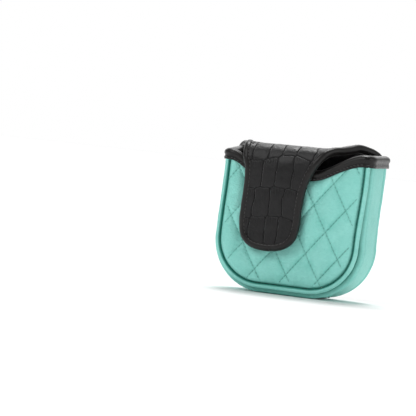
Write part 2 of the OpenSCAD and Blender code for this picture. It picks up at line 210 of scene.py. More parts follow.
def seam_path(step=0.8):
    """Points (x, z) of the seam from the right of the mouth round the bottom to the left."""
    def half(side):
        z = np.linspace(SEAM_TOP, CORNER_Z, 60)
        a = np.linspace(0, math.pi / 2, 50)[1:]
        base = BASE_LEFT if side < 0 else BASE_RIGHT
        x = np.concatenate([half_width(side, z), base - CORNER_R + CORNER_R * np.cos(a)])
        z = np.concatenate([z, CORNER_Z - CORNER_R * np.sin(a)])
        return np.stack([side * x, z], axis=1)
    return resampled(np.concatenate([half(1), half(-1)[::-1]]), step)


SEAM = seam_path()
SEAM_T = tangents(SEAM)
SEAM_N = np.stack([-SEAM_T[:, 1], SEAM_T[:, 0]], axis=1)


def seam_distance(x, z):
    """Distance inside the seam, for arrays of points."""
    p = np.stack([np.ravel(x), np.ravel(z)], axis=1)
    out = np.empty(len(p))
    for i in range(0, len(p), 4000):
        d = p[i:i + 4000, None, :] - SEAM[None, :, :]
        out[i:i + 4000] = np.sqrt((d ** 2).sum(-1)).min(1)
    return out.reshape(np.shape(x))


# ---- meshes ----

COLLECTION = bpy.context.scene.collection


def new_object(name, points, faces, material, sharp=math.radians(50)):
    """A smooth-shaded mesh object; points are in mm in the pocket's coordinates."""
    points = placed(np.reshape(points, (-1, 3)))
    mesh = bpy.data.meshes.new(name)
    mesh.from_pydata(points.tolist(), [], [list(map(int, f)) for f in faces])
    mesh.validate()
    rest = mesh.attributes.new("rest", "FLOAT_VECTOR", "POINT")
    co = np.empty(len(mesh.vertices) * 3, np.float32)
    mesh.vertices.foreach_get("co", co)
    rest.data.foreach_set("vector", co)
    mesh.polygons.foreach_set("use_smooth", [True] * len(mesh.polygons))
    mesh.set_sharp_from_angle(angle=sharp)
    mesh.materials.append(material)
    obj = bpy.data.objects.new(name, mesh)
    COLLECTION.objects.link(obj)
    return obj


def grid_faces(rows, cols, start=0, flip=False, wrap=False):
    """Quads of a grid of points; wrap joins its last column to its first."""
    i, j = np.meshgrid(np.arange(rows - 1), np.arange(cols if wrap else cols - 1), indexing="ij")
    k = (j + 1) % cols
    quads = np.stack([i * cols + j, i * cols + k, (i + 1) * cols + k, (i + 1) * cols + j], -1)
    quads = quads.reshape(-1, 4) + start
    return quads[:, ::-1] if flip else quads


def paint_groove_shade(obj, painted_shade):
    """Records how much shade is painted at each point in a seam or groove, 0 to 1, for the colour
    there.
    """
    values = np.zeros(len(obj.data.vertices), "f")
    values[:painted_shade.size] = np.clip(painted_shade, 0, 1).ravel()
    obj.data.attributes.new("painted_shade", "FLOAT", "POINT").data.foreach_set("value", values)
    return obj


def slab(name, outer, inner, material, flip=False):
    """A closed piece between two grids of points with the same layout."""
    rows, cols = outer.shape[:2]
    n = rows * cols
    top = grid_faces(rows, cols, 0, flip)
    under = grid_faces(rows, cols, n, not flip)
    index = np.arange(n).reshape(rows, cols)
    edge = np.concatenate([index[0, :], index[1:, -1], index[-1, -2::-1], index[-2:0:-1, 0]])
    after = np.roll(edge, -1)
    wall = np.stack([after, edge, edge + n, after + n], axis=1)
    if flip:
        wall = wall[:, ::-1]
    points = np.concatenate([outer.reshape(-1, 3), inner.reshape(-1, 3)])
    return new_object(name, points, [*top, *under, *wall], material)


def tube_faces(rings, sides, start=0):
    """Faces round a tube of rings of points, and over its two ends."""
    last = start + (rings - 1) * sides
    around = grid_faces(rings, sides, start, wrap=True).tolist()
    near_end = list(range(start, start + sides))[::-1]
    return [*around, near_end, list(range(last, last + sides))]


def tube(name, rings, material, sharp=math.radians(60)):
    """A closed piece swept through rings of points."""
    rings = np.asarray(rings)
    return new_object(name, rings, tube_faces(*rings.shape[:2]), material, sharp)


def stitches(name, centres, along, up, material, length, radius, sink):
    """Rows of single stitches: each is a short thread that dips into the leather at its ends."""
    ring_n, sides = 6, 6
    angles = np.linspace(0, 2 * math.pi, sides, endpoint=False)[:, None]
    points, faces = [], []
    for k, (c, a, u, side) in enumerate(zip(centres, along, up, unit(np.cross(along, up)))):
        for t in np.linspace(-1, 1, ring_n):
            r = radius * (0.45 + 0.55 * math.sqrt(max(0.0, 1 - t ** 4)))
            mid = c + a * (t * length / 2) + u * (radius * 0.5 - sink * t ** 4)
            points.append(mid + r * (np.cos(angles) * side + np.sin(angles) * u))
        faces.extend(tube_faces(ring_n, sides, k * ring_n * sides))
    return new_object(name, np.concatenate(points), faces, material)


# ---- materials ----

def srgb(r, g, b):
    def linear(c):
        c /= 255
        return c / 12.92 if c <= 0.04045 else ((c + 0.055) / 1.055) ** 2.4
    return (linear(r), linear(g), linear(b), 1.0)


SOCKETS = {"coat": "Coat Weight", "coat_roughness": "Coat Roughness", "sheen": "Sheen Weight",
           "sheen_roughness": "Sheen Roughness", "specular": "Specular IOR Level",
           "metallic": "Metallic"}


class Shader:
    """A material's nodes, added one at a time."""

    def __init__(self, name, roughness, **sockets):
        self.material = bpy.data.materials.new(name)
        self.material.use_nodes = True
        self.tree = self.material.node_tree
        self.bsdf = self.tree.nodes["Principled BSDF"]
        self.bsdf.inputs["Roughness"].default_value = roughness
        for key, value in sockets.items():
            self.bsdf.inputs[SOCKETS[key]].default_value = value

    def add(self, kind, **values):
        node = self.tree.nodes.new(kind)
        for key, value in values.items():
            if hasattr(node, key):
                setattr(node, key, value)
            else:
                self.put(node.inputs[key.replace("_", " ")], value)
        return node

    def put(self, socket, value):
        if isinstance(value, bpy.types.NodeSocket):
            self.tree.links.new(value, socket)
        else:
            socket.default_value = value

    def place(self, stretch=(1, 1, 1), use_rest=True):
        """Where a point lies at rest, in mm."""
        if use_rest:
            source = self.add("ShaderNodeAttribute", attribute_name="rest").outputs["Vector"]
        else:
            source = self.add("ShaderNodeTexCoord").outputs["Object"]
        scaled = self.add("ShaderNodeMapping")
        scaled.inputs["Scale"].default_value = tuple(s / MM for s in stretch)
        self.put(scaled.inputs["Vector"], source)
        return scaled.outputs["Vector"]

    def painted_shade(self):
        """How much shade is painted at a point in a seam or groove, 0 to 1, as recorded on the
        mesh.
        """
        return self.add("ShaderNodeAttribute", attribute_name="painted_shade").outputs["Fac"]

    def noise(self, where, size, detail=3.0, roughness=0.55, distortion=0.0):
        n = self.add("ShaderNodeTexNoise", Detail=detail, Roughness=roughness,
                     Distortion=distortion, Scale=1 / size)
        self.put(n.inputs["Vector"], where)
        return n.outputs["Fac"]

    def cells(self, where, size):
        n = self.add("ShaderNodeTexVoronoi", feature="F1", Scale=1 / size)
        self.put(n.inputs["Vector"], where)
        return n.outputs["Distance"]

    def spread(self, value, low, high, to_low=0.0, to_high=1.0):
        """The value's range from low to high, spread over another range."""
        n = self.add("ShaderNodeMapRange")
        for i, v in enumerate((value, low, high, to_low, to_high)):
            self.put(n.inputs[i], v)
        return n.outputs["Result"]

    def mix_colour(self, share, a, b):
        """Colour a, going over to b; a colour mix has its colours in sockets 6 and 7."""
        n = self.add("ShaderNodeMix", data_type="RGBA")
        self.put(n.inputs[0], share)
        self.put(n.inputs[6], a)
        self.put(n.inputs[7], b)
        return n.outputs[2]

    def sum(self, a, b, share):
        """a and a share of b."""
        n = self.add("ShaderNodeMath", operation="MULTIPLY_ADD")
        self.put(n.inputs[0], b)
        n.inputs[1].default_value = share
        self.put(n.inputs[2], a)
        return n.outputs[0]

    def bump(self, height, depth_mm, strength=1.0, after=None):
        n = self.add("ShaderNodeBump", Strength=strength, Distance=depth_mm * MM)
        self.put(n.inputs["Height"], height)
        if after is not None:
            self.put(n.inputs["Normal"], after)
        return n.outputs["Normal"]

    def colour(self, value):
        self.put(self.bsdf.inputs["Base Color"], value)

    def roughness(self, value):
        self.put(self.bsdf.inputs["Roughness"], value)

    def normal(self, value):
        self.put(self.bsdf.inputs["Normal"], value)


def mint_leather(name, deep, light):
    """Soft pebbled leather with fine creases, slight wear in its colour, and shade painted as a
    darker teal into its seams and grooves.
    """
    s = Shader(name, 0.5, specular=0.4, coat=0.06, coat_roughness=0.4)
    where = s.place()
    patches = s.noise(where, 16.0, 3.0)
    pores = s.cells(where, 1.15)
    wrinkles = s.noise(s.place((0.7, 0.7, 1.15)), 2.1, 4.0, 0.6, 0.5)
    tone = s.sum(s.spread(patches, 0.3, 0.7), s.spread(wrinkles, 0.35, 0.7), 0.7)
    hide = s.mix_colour(s.spread(tone, 0.2, 1.5), deep, light)
    # Painted shade: a darker teal where the mesh records seams, quilting lines and the piping's
    # folds.
    s.colour(s.mix_colour(s.painted_shade(), hide, srgb(38, 128, 114)))
    s.roughness(s.spread(s.sum(patches, pores, 0.5), 0.3, 1.0, 0.44, 0.62))
    creased = s.bump(wrinkles, 0.6)
    s.normal(s.bump(pores, 0.24, 0.8, creased))
    return s.material


def black_leather(name, base, worn, roughness, grain_mm, depth_mm, coat, sheen, groove_shade_painted):
    """Black leather that pales where it is worn; with the last argument set, shade is painted near
    black into its grooves, which are also made dull.
    """
    s = Shader(name, roughness, specular=0.2, coat=coat, coat_roughness=0.25, sheen=sheen,
               sheen_roughness=0.4)
    where = s.place()
    patches = s.noise(where, 9.0, 4.0)
    grain = s.cells(where, grain_mm)
    wrinkles = s.noise(where, 1.7, 4.0, 0.6)
    tone = s.mix_colour(s.spread(s.sum(patches, wrinkles, 0.4), 0.45, 0.95), base, worn)
    shine = s.spread(patches, 0.3, 0.7, roughness - 0.07, roughness + 0.09)
    if groove_shade_painted:
        painted_shade = s.painted_shade()
        # Painted shade: the grooves darkened to near black.
        tone = s.mix_colour(painted_shade, tone, srgb(4, 4, 5))
        shine = s.sum(shine, painted_shade, 0.4)
    s.colour(tone)
    s.roughness(shine)
    creased = s.bump(wrinkles, depth_mm * 1.6)
    s.normal(s.bump(grain, depth_mm, 0.8, creased))
    return s.material


def thread(name, base, light, roughness, sheen):
    """Sewing thread, its fibres a little lighter here and there."""
    s = Shader(name, roughness, sheen=sheen, sheen_roughness=0.35, specular=0.45)
    fibres = s.noise(s.place((1.0, 1.0, 3.0)), 0.32, 2.0)
    s.colour(s.mix_colour(s.spread(fibres, 0.35, 0.65), base, light))
    s.normal(s.bump(fibres, 0.06))
    return s.material


def plush(name, base, light):
    """Short brushed pile."""
    s = Shader(name, 0.95, sheen=0.6, sheen_roughness=0.5, specular=0.2)
    where = s.place()
    pile = s.noise(where, 0.55, 3.0, 0.7)
    brushed = s.noise(where, 9.0, 2.0)
    tone = s.sum(s.spread(pile, 0.3, 0.7), s.spread(brushed, 0.35, 0.65), 0.6)
    s.colour(s.mix_colour(s.spread(tone, 0.2, 1.4), base, light))
    s.normal(s.bump(pile, 0.45))
    return s.material


def nickel(name):
    s = Shader(name, 0.28, metallic=1.0)
    brushed = s.noise(s.place((1.0, 1.0, 6.0), use_rest=False), 0.6, 3.0)
    s.colour(s.mix_colour(s.spread(brushed, 0.3, 0.7), (0.5, 0.5, 0.5, 1), (0.68, 0.68, 0.67, 1)))
    s.normal(s.bump(brushed, 0.02))
    return s.material


def woven(name, base, light, size):
    s = Shader(name, 0.85, sheen=0.2, sheen_roughness=0.5)
    where = s.place(use_rest=False)
    weave = s.add("ShaderNodeTexWave", Scale=0.3 / size, Distortion=1.5)
    s.put(weave.inputs["Vector"], where)
    fuzz = s.sum(weave.outputs["Fac"], s.noise(where, size * 0.5), 0.6)
    s.colour(s.mix_colour(s.spread(fuzz, 0.4, 1.2), base, light))
    s.normal(s.bump(fuzz, 0.1))
    return s.material


def floor_material():
    s = Shader("floor_white", 0.9, specular=0.1)
    where = s.place(use_rest=False)
    s.colour(s.mix_colour(s.noise(where, 400.0), (0.95, 0.95, 0.95, 1), (0.97, 0.97, 0.97, 1)))
    return s.material


MINT = mint_leather("mint_leather", srgb(130, 208, 197), srgb(148, 220, 210))
MINT_PIPING = mint_leather("mint_piping", srgb(132, 210, 199), srgb(150, 221, 211))
CROC = black_leather("croc_leather", srgb(8, 8, 9), srgb(24, 23, 24), 0.34, 0.9, 0.1, 0.12, 0.6,
                     groove_shade_painted=True)
SMOOTH = black_leather("smooth_leather", srgb(10, 9, 9), srgb(25, 23, 22), 0.33, 0.8, 0.06, 0.2,
                       0.1, groove_shade_painted=False)
LINING = plush("plush_lining", srgb(22, 22, 24), srgb(56, 56, 60))
SILVER = thread("silver_thread", srgb(190, 187, 176), srgb(236, 233, 223), 0.42, 0.4)
QUILT_THREAD = thread("quilting_thread", srgb(74, 140, 131), srgb(102, 170, 159), 0.6, 0.1)
BLACK_THREAD = thread("black_thread", srgb(20, 20, 21), srgb(64, 62, 62), 0.5, 0.5)
NICKEL = nickel("magnet_nickel")
POUCH = woven("pouch_fabric", srgb(70, 70, 74), srgb(110, 110, 114), 0.8)
CORD = woven("piping_cord", srgb(205, 200, 188), srgb(235, 232, 222), 1.2)


# ---- closure panel ----

LEAN = math.radians(3.5)
CROSSING = np.array([33.8, 55.5])
DIAMOND_W, DIAMOND_H = 27.4, 40.0
SLOPE = math.atan2(DIAMOND_H, DIAMOND_W)
LINE_GAP = DIAMOND_W * math.sin(SLOPE)


def quilt_lines(x, z):
    """Distance to the nearest stitch line of each of the two directions, and place along it."""
    dx, dz = x - CROSSING[0], z - CROSSING[1]
    u = dx * math.cos(LEAN) - dz * math.sin(LEAN)
    v = dx * math.sin(LEAN) + dz * math.cos(LEAN)
    out = []
    for way in (1, -1):
        off = u * math.sin(SLOPE) - way * v * math.cos(SLOPE)
        along = u * math.cos(SLOPE) + way * v * math.sin(SLOPE)
        near = np.abs((off + LINE_GAP / 2) % LINE_GAP - LINE_GAP / 2)
        out.append((near, along))
    return out


def under_tongue(x, z):
    """1 where the tongue lies on the panel, falling to 0 beside it."""
    across = ramp((x + 45) / 9) * ramp((19 - x) / 9)
    return across * ramp((z - 28) / 10)


PANEL_GAP = 0.1
PANEL_LOW = SEAM_BOTTOM + PANEL_GAP
PANEL_UNDER_RIM = 1.2


def panel_height(x):
    return rim_z(x) - PANEL_UNDER_RIM - PANEL_LOW


def panel_grid(rows, cols):
    """Points (x, z) over the panel, in rows that follow the rim's line."""
    v = np.linspace(0, 1, rows)[:, None]
    s = np.linspace(-1, 1, cols)[None, :]
    x = s * 50 + 0 * v
    for _ in range(8):
        z = PANEL_LOW + v * panel_height(x)
        x = s * (panel_half(s, z) - PANEL_GAP)
    return x, z


def rising(distance, reach):
    """0 where the leather is held, rising towards 1 away from there."""
    return 1 - np.exp(-distance / reach)


def below_binding(x, z):
    return np.maximum(rim_z(x) - BINDING_H - z, 0)


def inside(x, z, edge):
    """1 well inside the panel, falling to 0 at its seam and at the rim's binding."""
    return rising(edge, 9) * rising(below_binding(x, z), 7)


def panel_base(x, z, edge):
    """How far the leather stands out from its flat outer face along the stitch lines."""
    full = inside(x, z, edge) * (1 - 0.6 * under_tongue(x, z)) * 2.1
    return full - 1.7 * bell(edge / 1.4)


CLOTH_SCALE, CLOTH_FRAMES, HELD_LEVELS = 10, 20, 10


def filled_cloth(points, held, pressure, slack):
    """A cloth simulation: a slack sheet, sewn down where held is 1, filled from behind.
    Gives how far each point moves, in mm. A unit of the simulated sheet is a centimetre."""
    rows, cols = points.shape[:2]
    mesh = bpy.data.meshes.new("filled")
    sheet_points = (points.reshape(-1, 3) / CLOTH_SCALE).tolist()
    mesh.from_pydata(sheet_points, [], grid_faces(rows, cols).tolist())
    obj = bpy.data.objects.new("filled", mesh)
    COLLECTION.objects.link(obj)
    group = obj.vertex_groups.new(name="held")
    level = np.round(np.clip(held.ravel(), 0, 1) * HELD_LEVELS).astype(int)
    for k in range(1, HELD_LEVELS + 1):
        group.add(np.where(level == k)[0].tolist(), k / HELD_LEVELS, "REPLACE")
    cloth = obj.modifiers.new("cloth", "CLOTH")
    settings = cloth.settings
    settings.quality = 5
    settings.mass = 0.05
    settings.tension_stiffness = 20
    settings.compression_stiffness = 20
    settings.bending_stiffness = 0.4
    settings.vertex_group_mass = "held"
    settings.pin_stiffness = 12
    settings.use_pressure = True
    settings.uniform_pressure_force = pressure
    settings.shrink_min = -slack
    settings.effector_weights.gravity = 0
    cloth.collision_settings.use_collision = False
    for frame_number in range(1, CLOTH_FRAMES + 1):
        bpy.context.scene.frame_set(frame_number)
    made = obj.evaluated_get(bpy.context.evaluated_depsgraph_get())
    after = np.empty(rows * cols * 3, "f")
    made.data.vertices.foreach_get("co", after)
    bpy.data.objects.remove(obj)
    bpy.context.scene.frame_set(1)
    return after.reshape(rows, cols, 3).astype(float) * CLOTH_SCALE - points


def quilt_filling(count=120):
    """How far the stuffing moves the leather between the stitch lines."""
    x, z = panel_grid(count, count)
    edge = seam_distance(x, z)
    (d1, _), (d2, _) = quilt_lines(x, z)
    leather = np.stack([x, -FACE_Y - panel_base(x, z, edge), z], -1)
    lines = np.maximum(bell(d1 / 0.7), bell(d2 / 0.7))
    under_rim = ramp(z - rim_z(x) + BINDING_H)
    held = np.maximum(np.maximum(lines, bell(edge / 1.2)), under_rim)
    move = filled_cloth(leather, held, pressure=6.5, slack=0.03)
    return move * (1 - 0.75 * under_tongue(x, z))[..., None]


FILLING = quilt_filling()


def looked_up(grid, v, s):
    """Values of a grid between its points; v and s run over its rows and columns."""
    rows, cols = grid.shape[:2]
    i, j = np.clip(v, 0, 1) * (rows - 1), (np.clip(s, -1, 1) + 1) / 2 * (cols - 1)
    i0, j0 = np.minimum(i.astype(int), rows - 2), np.minimum(j.astype(int), cols - 2)
    fi, fj = (i - i0)[..., None], (j - j0)[..., None]
    near = grid[i0, j0] * (1 - fj) + grid[i0, j0 + 1] * fj
    far = grid[i0 + 1, j0] * (1 - fj) + grid[i0 + 1, j0 + 1] * fj
    return near * (1 - fi) + far * fi


STITCH_PITCH = 3.3


def panel_surface(x, z):
    """Points of the quilted leather's outer face, filled and puckered along its stitches."""
    x, z = np.asarray(x, float), np.asarray(z, float)
    edge = seam_distance(x, z)
    p = np.stack([x, z], -1)
    relief = 0.18 * value_noise(p, 7.0, 3) + 0.09 * value_noise(p, 3.0, 4)
    for off, along in quilt_lines(x, z):
        pucker = np.exp(-off / 2.6) * np.sin(along * 2 * math.pi / STITCH_PITCH)
        relief += 0.18 * pucker - 0.4 * bell(off / 0.75)
    out = panel_base(x, z, edge) + inside(x, z, edge) * relief
    v = (z - PANEL_LOW) / panel_height(x)
    s = x / (panel_half(x, z) - PANEL_GAP)
    return np.stack([x, -FACE_Y - out, z], -1) + looked_up(FILLING, v, s)


def closure_panel():
    x, z = panel_grid(170, 170)
    outer = panel_surface(x, z)
    inner = np.stack([x * 0.99, np.full_like(x, -FACE_Y + 4.6), z], -1)
    edge = seam_distance(x, z)
    (d1, _), (d2, _) = quilt_lines(x, z)
    # Painted shade along the quilting lines and at the seam.
    sewn = 0.35 * np.maximum(bell(d1 / 0.55), bell(d2 / 0.55)) * ramp((edge - 2) / 3)
    painted_shade = np.maximum(bell(edge), sewn)
    return paint_groove_shade(slab("quilted_closure_panel", outer, inner, MINT), painted_shade)


def leaned(u, v):
    """A step along the quilting's own upright directions, as (x, z)."""
    return (u * math.cos(LEAN) + v * math.sin(LEAN), v * math.cos(LEAN) - u * math.sin(LEAN))


def quilting():
    """Stitches along both families of lines, where the panel shows."""
    spots, along = [], []
    for way in (1, -1):
        d = np.array([math.cos(SLOPE), way * math.sin(SLOPE)])
        n = np.array([math.sin(SLOPE), -way * math.cos(SLOPE)])
        for k in range(-7, 7):
            for i in range(-40, 41):
                u, v = d * (i * STITCH_PITCH + 0.35 * k) + n * k * LINE_GAP
                spots.append(CROSSING + leaned(u, v))
                along.append(leaned(*d))
    spots, along = np.array(spots), np.array(along)
    x, z = spots.T
    shown = (z >= SEAM_BOTTOM + 1) & (z <= rim_z(x) - BINDING_H - 0.8)
    shown &= (np.abs(x) <= panel_half(x, z) - 2.2) & (seam_distance(x, z) > 2.4)
    spots, step = spots[shown], 0.8 * along[shown]
    along = unit(panel_surface(*(spots + step).T) - panel_surface(*(spots - step).T))
    up = np.tile([0.0, -1.0, 0.0], (len(spots), 1))
    up = unit(up - (up * along).sum(1)[:, None] * along)
    centres = panel_surface(*spots.T)
    return stitches("quilting_stitches", centres, along, up, QUILT_THREAD, 2.2, 0.24, 0.25)


# ---- gusset and piping ----

def fullness(z):
    """How much of the gusset's swell there is at height z."""
    return np.clip((UPRIGHT_Z - z) / (UPRIGHT_Z - CORNER_Z), 0, 1) ** 2


def gusset_rise(x, z, y):
    """Distance of the gusset's outer face from the seam."""
    across = np.abs(y) / GUSSET_EDGE_Y
    crown = 5.1 + 2.0 * fullness(z) + 0.7 * (1 - across ** 2)
    roll = 0.6 * bell((np.abs(y) - 16.9) / 1.3) - 0.6 * bell((np.abs(y) - GROOVE_Y) / 1.1)
    tuck = -3.4 * bell((GUSSET_EDGE_Y + 0.5 - np.abs(y)) / 1.1)
    corner = (0.2 * bell((x - 50) / 16) * bell((z - 26) / 18)
              - 1.2 * bell((x + 56) / 12) * bell((z - 52) / 36))
    p = np.stack([x, y, z], -1)
    lumps = 0.3 * value_noise(p, 17.0, 5) + 0.12 * value_noise(p, 6.0, 6)
    return crown + roll + tuck + corner + lumps


def gusset_sheet(every, half_w, columns, gap):
    """A grid of points x, y and z along the seam, its top stretched to end gap under the rim's
    line, and a function that moves the grid out from the seam."""
    x, z, nx, nz = [a[::every, None] for a in (*SEAM.T, *SEAM_N.T)]
    y = np.linspace(-half_w, half_w, columns)[None, :]
    x, z, nx, nz, y = np.broadcast_arrays(x, z, nx, nz, y)
    top = np.where(x > 0, gusset_rim_z(1, y), gusset_rim_z(-1, y)) - gap
    z = z + (top - SEAM_TOP) * ramp((z - STRETCH_Z) / (SEAM_TOP - STRETCH_Z))

    def moved(out, narrow=1.0):
        return np.stack([x + out * nx, y * narrow, z + out * nz], -1)
    return x, y, z, moved


def gusset():
    half_w = GUSSET_EDGE_Y + 0.6
    x, y, z, moved = gusset_sheet(1, half_w, 49, 1.2)
    piece = slab("gusset_strip", moved(gusset_rise(x, z, y)), moved(2.3, 0.98), MINT)
    # Painted shade at the gusset's edges and, fainter, along its grooves.
    groove = bell((np.abs(y) - GROOVE_Y) / 0.6)
    return paint_groove_shade(piece, np.maximum(bell(half_w - np.abs(y)), 0.4 * groove))


def piping(name, side):
    """A cord wrapped in leather along one seam, its section a little uneven as sewn."""
    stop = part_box("display_piping_cord")[1][2] / MM + 1.2 if side > 0 else None
    angles = np.linspace(0, 2 * math.pi, 22, endpoint=False)
    rings = []
    for i, ((x, z), (nx, nz)) in enumerate(zip(SEAM, SEAM_N)):
        end = 1 if x > 0 else -1
        top = stop if stop else float(gusset_rim_z(end, -PIPING_Y)) - BINDING_H + 1.5
        if z > top - 0.4:
            continue
        r = PIPING_R + 0.1 * float(value_noise(np.array([i * 0.8, side * 40.0]), 5.0, 7))
        u = PIPING_U + r * np.cos(angles)
        y = side * (PIPING_Y + 0.2 + r * np.sin(angles))
        rings.append(np.stack([x + u * nx, y, z + u * nz], 1))
    rings = rings[::-1] if side > 0 else rings
    # Painted shade on the piping's flanks, where it folds into the seam.
    folded = np.maximum(ramp((-0.35 - np.sin(angles)) / 0.5), ramp((-0.1 - np.cos(angles)) / 0.5))
    return paint_groove_shade(tube(name, rings, MINT_PIPING), np.tile(folded, len(rings)))


# ---- rim binding ----

def rim_line(step=1.0):
    """Middle line of the rim, from the left of the display side round to its right."""
    left, right = -MOUTH_LEFT - RIM_MID_U, MOUTH_RIGHT + RIM_MID_U
    turn_y = RIM_MID_Y + RIM_TURN_R

    def turned(middle_x, from_degrees, z):
        """Points round a corner, 15 degrees apart."""
        return [[middle_x + RIM_TURN_R * math.cos(a), turn_y + RIM_TURN_R * math.sin(a), z]
                for a in np.radians(from_degrees + 15 * np.arange(5))]
    points = [[left, y, gusset_rim_z(-1, y)] for y in np.linspace(RIM_END_Y + 0.6, turn_y, 16)]
    points += turned(left + RIM_TURN_R, 195, RIM_LEFT)
    points += [[x, RIM_MID_Y, float(rim_z(x))]
               for x in np.linspace(left + RIM_TURN_R, right - RIM_TURN_R, 90)]
    points += turned(right - RIM_TURN_R, 285, RIM_RIGHT)
    points += [[right, y, gusset_rim_z(1, y)] for y in np.linspace(turn_y, RIM_END_Y + 0.6, 16)]
    return resampled(points, step)


def rim_frame():
    """Points of the rim's line, with the level directions along it and out from the mouth."""
    p = rim_line()
    flat = p.copy()
    flat[:, 2] = 0
    t = tangents(flat)
    out = np.stack([t[:, 1], -t[:, 0], 0 * t[:, 0]], 1)
    return p, t, out


# One outer half of the binding's section, as (out from the rim's line, above it)
RIM_OUTSIDE = [(4.25, -8.9), (4.5, -8.3), (4.35, -6.6), (4.05, -5.1), (4.4, -4.1),
               (4.85, -3.1), (4.75, -1.9), (4.1, -0.6), (2.9, 0.45), (1.5, 1.0), (0, 1.15)]


def rim_binding():
    p, _, out = rim_frame()
    half = RIM_OUTSIDE + [(-u, h) for u, h in RIM_OUTSIDE[-2::-1]]
    inside = [(-3.5, -8.9), (-3.45, -1.3), (3.45, -1.3), (3.5, -8.9)]
    profile = np.array(half + inside)
    rings = []
    for i, (c, o) in enumerate(zip(p, out)):
        pucker = 0.07 * math.sin(i * 2 * math.pi / 6.3) + 0.16 * float(
            value_noise(np.array([i * 1.0, 9.0]), 7.0, 8))
        u, h = profile[:, 0].copy(), profile[:, 1]
        low = bell((h + 5.6) / 2.0)
        skirt = 0.8 + 0.2 * float(ramp((c[2] - 110) / 9))
        h = np.where(h < -3, -3 + (h + 3) * skirt, h)
        u += np.sign(u) * pucker * low
        rings.append(c + u[:, None] * o + h[:, None] * np.array([0, 0, 1.0]))
    return tube("rim_binding_strip", rings, SMOOTH, math.radians(70))


def rim_stitching():
    p, t, out = rim_frame()
    keep = slice(3, len(p) - 3, 3)
    drop = -6.2 - 0.7 * ramp((p[keep, 2] - 110) / 9)
    centres = p[keep] + out[keep] * 4.38 + drop[:, None] * np.array([0, 0, 1.0])
    return stitches("rim_stitches", centres, t[keep], out[keep], BLACK_THREAD, 2.3, 0.3, 0.2)


# ---- the croc sheet ----

S_SHOULDER = SHOULDER_R * math.pi / 2
SHOULDER_Y = FACE_Y - SHOULDER_R
BEND_Y = TONGUE_Y + BEND_R
S_TOP = S_SHOULDER + SHOULDER_Y - BEND_Y
S_BEND = S_TOP + BEND_R * math.pi / 2
TOP_Z = FOLD_Z + SHOULDER_R
BEND_Z = TOP_Z - BEND_R
SPLIT_S = S_SHOULDER + SHOULDER_Y


def sheet_lift(x, s):
    """How far the soft sheet stands off its plain path: a proud wing over the shaft's gap,
    a slack middle, and a padded tongue and display panel."""
    wing = 4.4 * ramp((x - 18) / 22) * (1 - 0.45 * ramp((x - 44) / 14)) * bell((s - 26) / 15)
    slack = -1.8 * bell((x + 2) / 44) * bell((s - 34) / 24)
    low_left = -2.4 * ramp((-2 - x) / 34) * bell((s - 26) / 22)
    over = np.maximum(np.abs(x) - np.where(x > 0, 57.5, 57.0), 0)
    wrapped = -np.where(x > 0, 0.07, 0.045) * over ** 2 * ramp((24 - s) / 14)
    tongue = (1.1 + 0.9 * bell((x + 13.5) / 18)) * ramp((s - 66) / 16)
    curl = 0.8 * ramp((s - 128) / 18)
    z = FOLD_Z + s
    crown = 1.8 * (1 - ((x - 2) / 60) ** 2) * ramp(-s / 26) * ramp((z - 4) / 26)
    return wing + slack + low_left + wrapped + tongue + curl + np.maximum(crown, 0)


def sheet(x, s, h=0.0):
    """Points of the flap's sheet."""
    x, s, h = np.broadcast_arrays(*[np.asarray(v, float) for v in (x, s, h)])
    shoulder = np.clip(s, 0, S_SHOULDER) / SHOULDER_R
    bend = math.pi / 2 + np.clip(s - S_TOP, 0, S_BEND - S_TOP) / BEND_R
    before = s < SPLIT_S
    angle = np.where(before, shoulder, bend)
    reach = h + sheet_lift(x, s)
    ny, nz = np.cos(angle), np.sin(angle)
    flat = np.clip(s - S_SHOULDER, 0, S_TOP - S_SHOULDER)
    y = np.where(before, SHOULDER_Y + (SHOULDER_R + reach) * ny - flat,
                 BEND_Y + (BEND_R + reach) * ny + np.clip(S_TOP - s, 0, None))
    z = np.where(before, FOLD_Z + (SHOULDER_R + reach) * nz + np.minimum(s, 0),
                 BEND_Z + (BEND_R + reach) * nz - np.clip(s - S_BEND, 0, None))
    return np.stack([x, y, z], -1)


def sheet_normal(x, s):
    d = 0.05
    across = sheet(x + d, s) - sheet(x - d, s)
    down = sheet(x, s + d) - sheet(x, s - d)
    return unit(np.cross(down, across))


def z_to_s(z):
    return S_BEND + BEND_Z - z


def edge_points(over, down):
    """One edge of the flap: (x, s) over the top, then (x, z) down the tongue to its tip."""
    return over + [(x, z_to_s(z)) for x, z in [*down, (MAGNET_X, TONGUE_TIP_Z)]]


RIGHT_EDGE = edge_points(
    [(64.4, 2.5), (63.2, 7), (60.9, 11.5), (57.8, 16), (54.0, 21.5), (49.8, 27.5), (44.0, 37),
     (38, 47.5), (30.4, 60), (23.8, 72)],
    [(18.4, 98), (14.9, 86), (13.5, 72), (13, 56), (9.6, 44.5), (0.5, 37)])
LEFT_EDGE = edge_points(
    [(-63.0, -6), (-64.6, -1), (-65.4, 4.5), (-64.2, 10.5), (-60.8, 16.5), (-55.4, 24),
     (-50.0, 34), (-46, 46), (-43.6, 60), (-41.8, 72)],
    [(-39, 101), (-38.2, 88), (-38.8, 70), (-38.8, 56), (-35.9, 44.5), (-27.4, 37)])
EDGE = smooth_curve(RIGHT_EDGE + LEFT_EDGE[-2::-1], 16)


def edge_x(side, s):
    """Where the flap's edge is at s; side is -1 for the left and 1 for the right."""
    tip = int(np.argmax(EDGE[:, 1]))
    half = EDGE[:tip + 1] if side > 0 else EDGE[tip:][::-1]
    return np.interp(s, half[:, 1], half[:, 0])


# ---- croc scales: rows of broad plates, and small round pebbles towards one side ----

